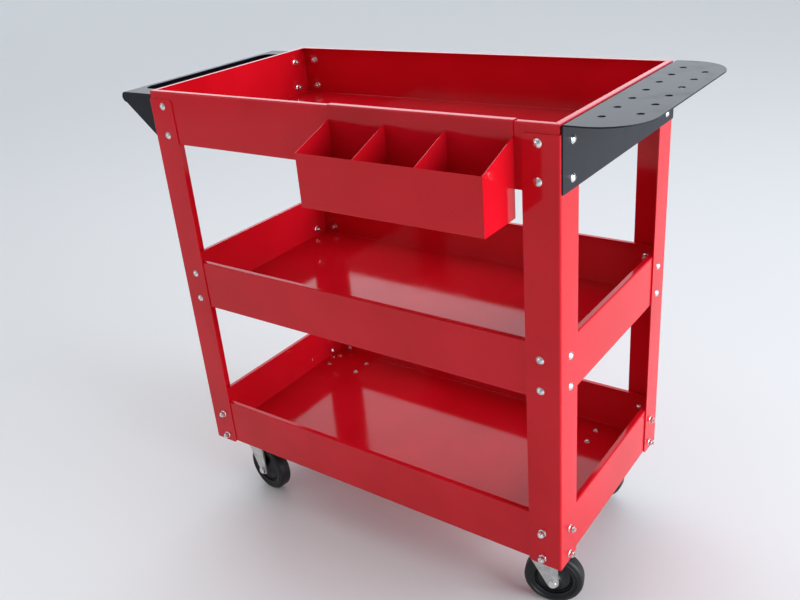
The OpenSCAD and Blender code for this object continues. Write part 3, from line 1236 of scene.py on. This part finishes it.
def caster_stance(key: str) -> Point:
    """Finds how a caster stands, from the axes of its swivel and its wheel.

    Args:
        key: Short name of the caster's corner.

    Returns:
        Its angle in radians, and the distance of its axle from the swivel axis in millimetres.
    """
    at = {joint["name"]: joint.get("pos_m") for joint in frame["joints"]}
    pin, axle = at[f"swivel_{key}"], at[f"roll_{key}"]
    x, y = axle[0] - pin[0], axle[1] - pin[1]
    return math.atan2(y, x), math.hypot(x, y) / MM


@dataclass
class CornerPost:
    """Corner angle with rounded free corners and twelve screw holes."""

    shop: Workshop
    name: str
    sx: int
    sy: int
    leg: float = 54.0
    thickness: float = 2.0
    fold: float = 3.4
    corner: float = 6.0

    def build(self) -> None:
        """Makes the post."""
        lay = self.shop.layout
        kit = Fasteners(self.shop)
        high = lay.post_high - lay.post_low
        flat = self.leg - self.fold
        path = Path((self.leg, 0), 180, (Run(flat), Bend(-90, self.fold), Run(flat)), Side.RIGHT)
        wide, r = path.length, self.corner
        rows = [floor + z - lay.post_low for level, floor in lay.floors.items() for z in kit.rows(level)]
        across = self.leg - kit.inset
        holes = [(u, v, kit.hole) for u in rows for v in (across, wide - across)]
        blank = Blank([(0, 0, r), (high, 0, r), (high, wide, r), (0, wide, r)], holes)

        def place(u: float, a: float, b: float) -> Vector:
            """Puts a point of the angle at its corner."""
            x, y = lay.length / 2 - a, lay.width / 2 - b
            return Vector((self.sx * x, self.sy * y, lay.post_low + u))

        body = blank.folded(path, place, self.thickness)
        self.shop.finish(f"{self.name}_angle", body, RED, "cart", self.name, edge=0.4)


@dataclass
class PushHandle:
    """Folded push handle with a rounded grip rail, a hand slot and end gussets."""

    shop: Workshop
    reach: float = 84.0
    nose: float = 9.0
    drop: float = 8.0
    inset: float = 9.0
    fold: float = 3.4
    thickness: float = 2.0
    slot_in: float = 12.0
    slot_end: float = 33.0
    slot_corner: float = 19.0
    foot: float = 1.0
    lap: float = 0.4

    def gusset(self, half: float, side: int) -> bmesh.types.BMesh:
        """End plate between the mounting plate, the top and the rail.

        Args:
            half: Half of the handle's width.
            side: Which end of the handle.

        Returns:
            The plate.
        """
        lay = self.shop.layout
        back = self.thickness - self.lap
        low = self.foot - lay.tray_height + 1.5
        u, v = self.reach - self.nose, -self.drop - self.nose
        r = self.nose - back
        run = math.hypot(u - back, v - low)
        lean = math.atan2(v - low, u - back) - math.asin(r / run)
        start = math.degrees(lean) - 90
        nose = arc((u, v), r, start, 90, 12)
        shape = [(back, low, 0.0), *((a, b, 0.0) for a, b in nose), (back, -self.drop - back, 0.0)]
        outline = Blank(shape)
        place = Matrix(
            ((-1, 0, 0, -lay.length / 2), (0, 0, 1, side * half), (0, 1, 0, lay.rim), (0, 0, 0, 1))
        )
        plate = thickened(outline.flat(), self.thickness)
        return tidy(moved(plate, place @ Matrix.Translation((0, 0, self.thickness / 2))))

    def build(self) -> None:
        """Makes the handle."""
        lay = self.shop.layout
        kit = Fasteners(self.shop)
        half = lay.width / 2 - self.inset
        low = self.foot - lay.tray_height
        rise = -self.drop - self.fold - low
        steps = (
            Run(rise),
            Bend(-90, self.fold),
            Run(self.reach - self.nose - self.fold),
            Bend(-180, self.nose, 16),
            Run(6),
        )
        path = Path((0, low), 90, steps, Side.RIGHT)
        flat = rise + steps[1].length - self.fold
        near, far = flat + self.slot_in, flat + self.reach - 2 * self.nose
        end = half - self.slot_end
        c = self.slot_corner
        slot = [(-end, near, c), (end, near, c), (end, far, c), (-end, far, c)]
        y = lay.width / 2 - kit.inset
        holes = [
            (s * y, z - lay.tray_height - low, kit.hole) for s in (-1, 1) for z in kit.rows("top")
        ]
        w = half - 0.15
        corners = [(-w, 0, 1.5), (w, 0, 1.5), (w, path.length, 1.5), (-w, path.length, 1.5)]

        def place(u: float, a: float, b: float) -> Vector:
            """Puts a point of the handle at the cart's left end."""
            return Vector((-lay.length / 2 - a, u, lay.rim + b))

        sheet = Blank(corners, holes, [slot]).folded(path, place, self.thickness)
        gussets = [self.gusset(half - 0.5 - self.thickness / 2, s) for s in (-1, 1)]
        self.shop.finish(
            "push_handle_folded", joined(sheet, *gussets), BLACK, "cart", "handle_push", edge=0.35
        )


@dataclass
class ToolRack:
    """Drilled tool shelf folded off its mounting plate."""

    shop: Workshop
    reach: float = 95.0
    corner: float = 70.0
    fold: float = 3.4
    thickness: float = 2.0
    side_gap: float = 2.5
    hole: float = 5.2
    pitch: float = 49.5
    row_in: float = 29.5
    row_out: float = 69.5

    def build(self) -> None:
        """Makes the rack."""
        lay = self.shop.layout
        kit = Fasteners(self.shop)
        half = lay.width / 2 - self.side_gap
        rise = lay.tray_height - self.fold
        steps = (Run(rise), Bend(-90, self.fold), Run(self.reach - self.fold))
        path = Path((0, -lay.tray_height), 90, steps, Side.RIGHT)
        flat = rise + steps[1].length - self.fold
        y = lay.width / 2 - kit.inset
        holes = [(s * y, z, kit.hole) for s in (-1, 1) for z in kit.rows("top")]
        holes += [(i * self.pitch, flat + self.row_in, self.hole) for i in range(-3, 4)]
        holes += [((i + 0.5) * self.pitch, flat + self.row_out, self.hole) for i in range(-3, 3)]
        top, c = path.length, self.corner
        corners = [(-half, 0, 1.5), (half, 0, 1.5), (half, top, c), (-half, top, c)]

        def place(u: float, a: float, b: float) -> Vector:
            """Puts a point of the rack at the cart's right end."""
            return Vector((lay.length / 2 + a, u, lay.rim + b))

        sheet = Blank(corners, holes).folded(path, place, self.thickness)
        self.shop.finish("tool_rack_folded", sheet, BLACK, "cart", "handle_tool_rack", edge=0.35)


@dataclass
class SideBin:
    """Divided bin that hooks over the front rim."""

    shop: Workshop
    thickness: float = 1.2
    gap: float = 0.4
    hook: float = 9.8
    hook_drop: float = 14.0
    wall_drop: float = 19.0
    fold: float = 2.0
    tight: float = 1.0
    divider: float = 1.0
    front: float = 81.0

    def sizes(self) -> tuple[float, float, float, float, float]:
        """Reads the bin's place and sizes from the frame.

        Returns:
            Its middle, half length, back, depth and drop below the rim.
        """
        lay = self.shop.layout
        lo, hi = (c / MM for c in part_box("bin_shell"))
        back = -lay.tray_width / 2 - self.gap
        front = lo.y - lay.middle[1]
        middle = (lo.x + hi.x) / 2 - lay.middle[0]
        return middle, (hi.x - lo.x) / 2, back, back - front, lay.rim - lo.z

    def wall(self, inset: float, thickness: float, at: float) -> bmesh.types.BMesh:
        """Sloped wall across the bin.

        Args:
            inset: Distance of its edges from the bin's outside.
            thickness: Thickness of the plate.
            at: Place of its right face along the cart.

        Returns:
            The plate.
        """
        _, _, back, deep, drop = self.sizes()
        low = inset - drop
        shape = [
            (-inset, low, 0.6), (inset - deep, low, 0.6),
            (inset - deep, self.front - drop, 0.4), (-inset, -self.wall_drop, 0.4),
        ]
        place = Matrix(((0, 0, 1, at), (1, 0, 0, back), (0, 1, 0, self.shop.layout.rim), (0, 0, 0, 1)))
        return tidy(Blank(shape).plate(thickness, place))

    def pips(self, spots: Sequence[Corner], towards: int) -> bmesh.types.BMesh:
        """Small ground-off spot welds on a wall.

        Args:
            spots: Place along the cart, reach and height of each.
            towards: Side of the wall that they stand on.

        Returns:
            The welds.
        """
        _, _, back, *_ = self.sizes()
        dot = turned([(0.0, 0.35), (0.7, 0.28), (1.2, 0.0), (0.8, -0.3), (0.0, -0.3)], 14)
        places = [
            Matrix.Translation((x, back + p, self.shop.layout.rim + q)) @ facing((towards, 0, 0))
            for x, p, q in spots
        ]
        return copies(dot, places)

    def build(self) -> None:
        """Makes the shell and its two dividers."""
        lay = self.shop.layout
        middle, half, back, deep, drop = self.sizes()
        r, q, t = self.fold, self.tight, self.thickness
        steps = (
            Run(self.front - r),
            Bend(90, r),
            Run(deep - 2 * r),
            Bend(90, r),
            Run(drop + self.gap - r - q),
            Bend(-90, q),
            Run(self.hook - 2 * q),
            Bend(-90, q),
            Run(self.hook_drop + self.gap - q),
        )
        path = Path((-deep, self.front - drop), 270, steps, Side.LEFT)
        box_end = sum(s.length for s in steps[:4]) + drop - self.wall_drop - r
        end, thin = half, half - t
        total = path.length
        corners = [
            (-thin, 0, 0.0), (thin, 0, 0.0), (thin, box_end, 0.0), (end, box_end, 0.0),
            (end, total, 1.0), (-end, total, 1.0), (-end, box_end, 0.0), (-thin, box_end, 0.0),
        ]

        def place(u: float, a: float, b: float) -> Vector:
            """Puts a point of the bin in front of the tray."""
            return Vector((middle + u, back + a, lay.rim + b))

        sheet = Blank(corners).folded(path, place, t)
        left, right = middle - half, middle + half
        walls = [self.wall(0, t, left + t), self.wall(0, t, right)]
        welds = self.pips([(right, -14, -34), (right, -deep + 9, -52)], 1)
        self.shop.finish(
            "bin_folded_shell", joined(sheet, *walls, welds), RED, "bin", "bin_shell", edge=0.25
        )
        for name, side in (("left", -1), ("right", 1)):
            at = middle + side * half / 3 + self.divider / 2
            plate = self.wall(t, self.divider, at)
            welds = self.pips([(at, -9, -33), (at, -deep + 12, -118)], 1)
            self.shop.finish(
                f"bin_{name}_partition", joined(plate, welds), RED, "bin", f"bin_divider_{name}",
                edge=0.2,
            )


# ---------- casters ----------


@dataclass
class Caster:
    """Swivel caster: plate, ball race, rivet, fork, axle and wheel."""

    shop: Workshop
    key: str
    centre: Point
    swing: float
    trail: float
    height: float = 127.0
    plate_size: Point = (98.0, 62.0)
    plate_thickness: float = 2.5
    hole: float = 3.3
    recess: float = 20.0
    recess_depth: float = 3.0
    race_height: float = 3.2
    ball: float = 1.55
    balls: int = 34
    track: float = 21.4
    swivel_gap: float = 0.4
    fork_thickness: float = 2.8
    fork_gap: float = 36.0
    fork_front: float = -22.0
    fork_back: float = 28.0
    tip: float = 10.0
    wheel: float = 49.0
    tyre_width: float = 28.0
    core: float = 36.0
    axle: float = 4.0
    pin: float = 6.0
    sleeve: float = 6.5
    hex_flats: float = 13.0

    @property
    def crown(self) -> float:
        """Height of the fork's top."""
        down = self.plate_thickness + self.recess_depth + self.race_height + self.swivel_gap
        return self.height - down

    @property
    def fixed(self) -> Matrix:
        """Place of the swivel axis."""
        return Matrix.Translation((*self.centre, 0))

    @property
    def swung(self) -> Matrix:
        """Place of what swivels."""
        return self.fixed @ Matrix.Rotation(self.swing, 4, "Z")

    @property
    def at_axle(self) -> Matrix:
        """Place of the axle's middle, with Z along it."""
        centre = Matrix.Translation((self.trail, 0, self.wheel))
        return self.swung @ centre @ facing((0, -1, 0))

    def piece(
        self,
        name: str,
        bm: bmesh.types.BMesh,
        place: Matrix,
        finish: Finish,
        body: str,
        node: str,
        edge: float = 0.0,
    ) -> None:
        """Finishes a piece of this caster.

        Args:
            name: Name of the piece, without the corner.
            bm: Its mesh, which is used up.
            place: Its transform.
            finish: Its finish.
            body: Body that it rides on, without the corner, or the cart.
            node: CAD node that it replaces, without the corner.
            edge: Radius of its rounded edges, or 0.
        """
        rides = body if body == "cart" else f"{body}_{self.key}"
        self.shop.finish(
            f"caster_{name}_{self.key}", moved(bm, place), finish, rides, f"{node}_{self.key}", edge
        )

    def mounting(self) -> None:
        """Makes the plate with its dish, the race with its balls, and the rivet."""
        x, y = self.plate_size[0] / 2, self.plate_size[1] / 2
        t = self.plate_thickness
        holes = [(*spot, self.hole) for spot in plate_screws([(0, 0)])]
        holes.append((0, 0, self.recess + 1.2))
        flat = Blank([(-x, -y, 8), (x, -y, 8), (x, y, 8), (-x, y, 8)], holes)
        plate = flat.plate(t, Matrix.Translation((0, 0, self.height)))
        top, r = self.height, self.recess
        low = top - t - self.recess_depth
        dish = turned(
            [
                (r + 2.5, top - t), (r + 2.3, low + 1.2), (r + 1.2, low), (self.pin + 0.3, low),
                (self.pin + 0.3, low + t), (r - 1.4, low + t), (r, low + t + 1), (r + 0.3, top - 0.1),
                (r + 2.4, top - 0.1),
            ],
            48,
            closed=True,
        )
        body = joined(tidy(plate), dish)
        self.piece("top_plate", body, self.fixed, SATIN, "cart", "caster_plate", edge=0.3)
        z = self.crown + self.swivel_gap
        mid, h = z + self.race_height / 2, self.race_height
        ring = turned(
            [
                (12, z), (18.6, z), (19.4, z + 0.5), (19.9, mid), (19.4, z + h - 0.5), (18.6, z + h),
                (12, z + h),
            ],
            40,
            closed=True,
        )
        ball = bmesh.new()
        bmesh.ops.create_icosphere(ball, subdivisions=2, radius=self.ball)
        spots = [
            Matrix.Rotation(TAU * i / self.balls, 4, "Z") @ Matrix.Translation((self.track, 0, mid))
            for i in range(self.balls)
        ]
        race = joined(ring, copies(ball, spots))
        self.piece("ball_race", race, self.fixed, SATIN, "cart", "caster_race")
        bottom = self.crown - self.fork_thickness - self.swivel_gap
        high = self.height - self.recess_depth
        rivet = turned(
            [
                (0, high + 2.4), (6, high + 2.3), (9.5, high + 1.5), (11, high + 0.3), (10.8, high),
                (self.pin, high), (self.pin, bottom), (9.8, bottom), (10, bottom - 0.6),
                (8.6, bottom - 2.2), (5.0, bottom - 3.2), (0, bottom - 3.4),
            ],
            36,
        )
        self.piece("rivet", rivet, self.fixed, SATIN, "cart", "caster_kingpin")

    def fork(self) -> None:
        """Makes the folded fork with its dished crown."""
        half = self.fork_gap / 2 + self.fork_thickness
        bottom, r = self.wheel - self.tip, 4.0
        rise = self.crown - r - bottom
        steps = (Run(rise), Bend(-90, r), Run(2 * (half - r)), Bend(-90, r), Run(rise))
        path = Path((-half, bottom), 90, steps, Side.RIGHT)
        total, shoulder = path.length, rise + 2.0

        def lower(v: float) -> float:
            """Mirrors a developed height to the other leg."""
            return total - v

        reach = math.hypot(self.trail - self.fork_front, shoulder - self.tip)
        lean = math.atan2(self.tip - shoulder, self.trail - self.fork_front)
        start = math.degrees(lean - math.asin(self.tip / reach)) - 90
        tip = arc((self.trail, self.tip), self.tip, start, 0, 12)
        front = self.fork_front
        leg = [(u, v, 0.0) for u, v in tip] + [(self.fork_back + 2, shoulder, 0.0)]
        other = [(u, lower(v), 0.0) for u, v, _ in reversed(leg)]
        shape = leg + other + [(front, lower(shoulder), 0.0), (front, shoulder, 0.0)]
        holes = [
            (self.trail, self.tip, self.axle + 0.15),
            (self.trail, lower(self.tip), self.axle + 0.15),
            (0.0, total / 2, self.pin + 0.3),
        ]

        def place(u: float, a: float, b: float) -> Vector:
            """Puts a point of the fork under the swivel axis."""
            return Vector((u, a, b))

        sheet = Blank(shape, holes).folded(path, place, self.fork_thickness)
        c, t = self.crown, self.fork_thickness
        cup = turned(
            [
                (self.pin + 0.5, c - 0.15), (16, c - 0.15), (19, c - 0.7), (24, c - 0.7), (25.6, c - 0.1),
                (27, c - 0.9), (26.8, c - 2.4), (25.4, c - t), (19, c - t), (self.pin + 0.5, c - t + 0.2),
            ],
            48,
            closed=True,
        )
        body = joined(sheet, cup)
        self.piece("folded_fork", body, self.swung, SATIN, "swivel", "caster_fork", edge=0.45)

    def axle_set(self) -> None:
        """Makes the axle bolt, its nut and the sleeve."""
        kit = Fasteners(self.shop)
        half = self.fork_gap / 2 + self.fork_thickness
        head = moved(kit.hex_body(self.hex_flats, 5, 0), Matrix.Translation((0, 0, half)))
        shank = rod(self.axle, -half - 1, half + 0.2, 32)
        tail = kit.thread(self.axle, -half - 8, -half - 0.6)
        bolt = joined(head, shank, tail)
        at = self.at_axle
        self.piece("axle_bolt", bolt, at, BRIGHT, "swivel", "caster_axle", edge=0.15)
        nut = kit.hex_body(self.hex_flats, 6, self.axle + 0.05)
        under = at @ Matrix.Translation((0, 0, -half)) @ Matrix.Rotation(math.pi, 4, "X")
        self.piece("lock_nut", nut, under, BRIGHT, "swivel", "caster_axle_nut", edge=0.15)
        g, s, a = self.fork_gap / 2, self.sleeve, self.axle + 0.1
        tube = turned(
            [(a, -g), (s - 0.4, -g), (s, 0.4 - g), (s, g - 0.4), (s - 0.4, g), (a, g)], 40, closed=True
        )
        self.piece("axle_sleeve", tube, at, SATIN, "swivel", "caster_sleeve")

    def rolling(self) -> None:
        """Makes the moulded wheel and its tyre."""
        hub = self.fork_gap / 2 - 0.4
        bore, core = self.sleeve + 0.06, self.core
        half = [
            (bore, hub), (12.2, hub), (13.0, hub - 0.7), (13.6, hub - 2.2), (14.6, hub - 3.4),
            (18.0, 11.6), (22.0, 10.2), (25.4, 8.8), (26.6, 8.4), (28.4, 6.6), (30.4, 6.0),
            (31.2, 6.6), (31.6, 10.2), (32.2, 11.0), (core - 0.5, 11.0), (core, 10.6),
        ]
        body = turned([*half, *((r, -z) for r, z in reversed(half))], 64, closed=True)
        self.piece("wheel_disc", body, self.at_axle, PLASTIC, "wheel", "wheel_core")
        w, rim = self.tyre_width / 2, self.wheel
        side = [
            (core, 11.2), (core + 0.5, 11.7), (38.4, 12.3), (38.8, 13.3), (39.4, 13.9), (40.6, 14.0),
            (41.3, 13.7), (41.6, 13.1), (42.2, 13.0), *arc((rim - 7, w - 7.8), 6.9, 78, 8, 9),
            (rim - 0.02, 3.0), (rim, 0.4),
        ]
        tyre = turned([*side, *((r, -z) for r, z in reversed(side))], 96, closed=True)
        self.piece("tyre", tyre, self.at_axle, RUBBER, "wheel", "wheel_tyre")

    def build(self) -> None:
        """Makes all of the caster."""
        self.mounting()
        self.fork()
        self.axle_set()
        self.rolling()


@dataclass
class CasterFixings:
    """Screws through the bottom tray's floor and the nuts under the caster plates."""

    shop: Workshop
    centres: list[Point]
    sheet: float = 1.2
    plate: float = 2.5
    nut: float = 5.0
    tail: float = 1.5

    def build(self) -> None:
        """Makes the sixteen screws and nuts."""
        kit = Fasteners(self.shop)
        floor = self.shop.layout.floors["bottom"]
        spots = plate_screws(self.centres)
        heads = [
            Matrix.Translation((x, y, floor + self.sheet)) @ Matrix.Rotation(0.37 * n * n, 4, "Z")
            for n, (x, y) in enumerate(spots)
        ]
        screws = copies(kit.screw(self.sheet + self.plate + self.nut + self.tail), heads)
        self.shop.finish("caster_fixing_screws", screws, BRIGHT, "cart", "caster_mount_bolts")
        under = Matrix.Rotation(math.pi, 4, "X")
        nuts = [
            Matrix.Translation((x, y, floor - self.plate)) @ under @ Matrix.Rotation(0.5 * n, 4, "Z")
            for n, (x, y) in enumerate(spots)
        ]
        body = kit.hex_body(kit.across_flats, self.nut, kit.shank + 0.05)
        self.shop.finish("caster_fixing_nuts", copies(body, nuts), BRIGHT, "cart", "caster_mount_nuts")


# ---------- studio ----------


@dataclass(frozen=True)
class Lamp:
    """Soft area light."""

    name: str
    eye: Corner
    target: Corner
    size: Point
    power: float
    tint: Corner

    def hang(self) -> None:
        """Adds the light to the scene."""
        data = bpy.data.lights.new(self.name, "AREA")
        data.shape = "RECTANGLE"
        data.size, data.size_y = self.size
        data.energy = self.power
        data.color = self.tint
        lamp = bpy.data.objects.new(self.name, data)
        lamp.visible_camera = False
        lamp.location = self.eye
        aim = Vector(self.target) - Vector(self.eye)
        lamp.rotation_euler = aim.to_track_quat("-Z", "Y").to_euler()
        bpy.context.scene.collection.objects.link(lamp)


@dataclass
class Studio:
    """Pale floor, soft lights and the camera."""

    floor: Corner = (0.72, 0.71, 0.70)
    sky: Corner = (0.86, 0.92, 1.0)
    glow: Point = (0.36, 2.0)
    glow_span: Point = (0.45, 0.95)
    bright_side: Corner = (-0.57, 0.75, 0.33)
    lamps: tuple[Lamp, ...] = (
        Lamp("window", (4.6, 0.4, 1.6), (0, 0, 0.45), (3.6, 2.6), 300, (0.84, 0.92, 1.0)),
        Lamp("ceiling", (-0.4, 0.2, 3.2), (0, 0, 0.4), (3.0, 3.0), 24, (1.0, 0.98, 0.95)),
        Lamp("room", (-2.2, -3.0, 1.6), (0, 0, 0.4), (2.4, 2.0), 20, (1.0, 0.97, 0.95)),
    )
    eye: Corner = (0.8207, -1.097, 1.0979)
    right: Corner = (0.81094, 0.57906, -0.08409)
    down: Corner = (0.18554, -0.39077, -0.90160)
    ahead: Corner = (-0.55494, 0.71554, -0.42432)
    lens: float = 38.53
    shift: Point = (0.00815, -0.00899)

    def lay_floor(self) -> None:
        """Makes the floor."""
        bm = bmesh.new()
        bmesh.ops.create_grid(bm, x_segments=8, y_segments=8, size=20)
        mesh = bpy.data.meshes.new("studio_floor")
        bm.to_mesh(mesh)
        bm.free()
        ground = bpy.data.objects.new("studio_floor", mesh)
        bpy.context.scene.collection.objects.link(ground)
        paint = bpy.data.materials.new("studio_floor_paint")
        g = Graph(paint, "Principled BSDF", "Object")
        g.set(Base_Color=self.floor, Roughness=0.55)
        mesh.materials.append(paint)

    def light_sky(self) -> None:
        """Makes the world, which is brighter towards one side."""
        world = bpy.data.worlds.new("studio_sky")
        g = Graph(world, "Background", "Generated")
        towards = g.node(
            "ShaderNodeVectorMath",
            {"operation": "DOT_PRODUCT"},
            {0: g.place, 1: self.bright_side},
            "Value",
        )
        dim, bright = self.glow
        g.set(Color=self.sky, Strength=dim + towards.ramp(*self.glow_span) * (bright - dim))
        bpy.context.scene.world = world

    def aim_camera(self) -> None:
        """Makes the camera."""
        data = bpy.data.cameras.new("camera")
        data.lens = self.lens
        data.sensor_width = 36.0
        data.shift_x, data.shift_y = self.shift
        data.clip_start, data.clip_end = 0.02, 100
        camera = bpy.data.objects.new("camera", data)
        turn = Matrix((self.right, [-c for c in self.down], [-c for c in self.ahead])).transposed()
        camera.matrix_world = Matrix.Translation(self.eye) @ turn.to_4x4()
        scene = bpy.context.scene
        scene.collection.objects.link(camera)
        scene.camera = camera
        scene.view_settings.view_transform = "Standard"

    def build(self) -> None:
        """Makes all of the studio."""
        self.lay_floor()
        self.light_sky()
        for lamp in self.lamps:
            lamp.hang()
        self.aim_camera()


def main() -> None:
    """Builds every sub-assembly in order."""
    logging.basicConfig(level=logging.INFO, format="%(name)s: %(message)s")
    layout = Layout.read()
    shop = Workshop(layout)
    for level in layout.floors:
        Tray(shop, level).build()
    for name, sx, sy in (
        ("post_front_left", -1, -1),
        ("post_front_right", 1, -1),
        ("post_back_left", -1, 1),
        ("post_back_right", 1, 1),
    ):
        CornerPost(shop, name, sx, sy).build()
    PushHandle(shop).build()
    ToolRack(shop).build()
    SideBin(shop).build()
    Fasteners(shop).build()
    centres = caster_centres(layout)
    CasterFixings(shop, centres).build()
    for key, centre in zip(CASTERS, centres):
        Caster(shop, key, centre, *caster_stance(key)).build()
    Studio().build()


if __name__ == "__main__":
    main()
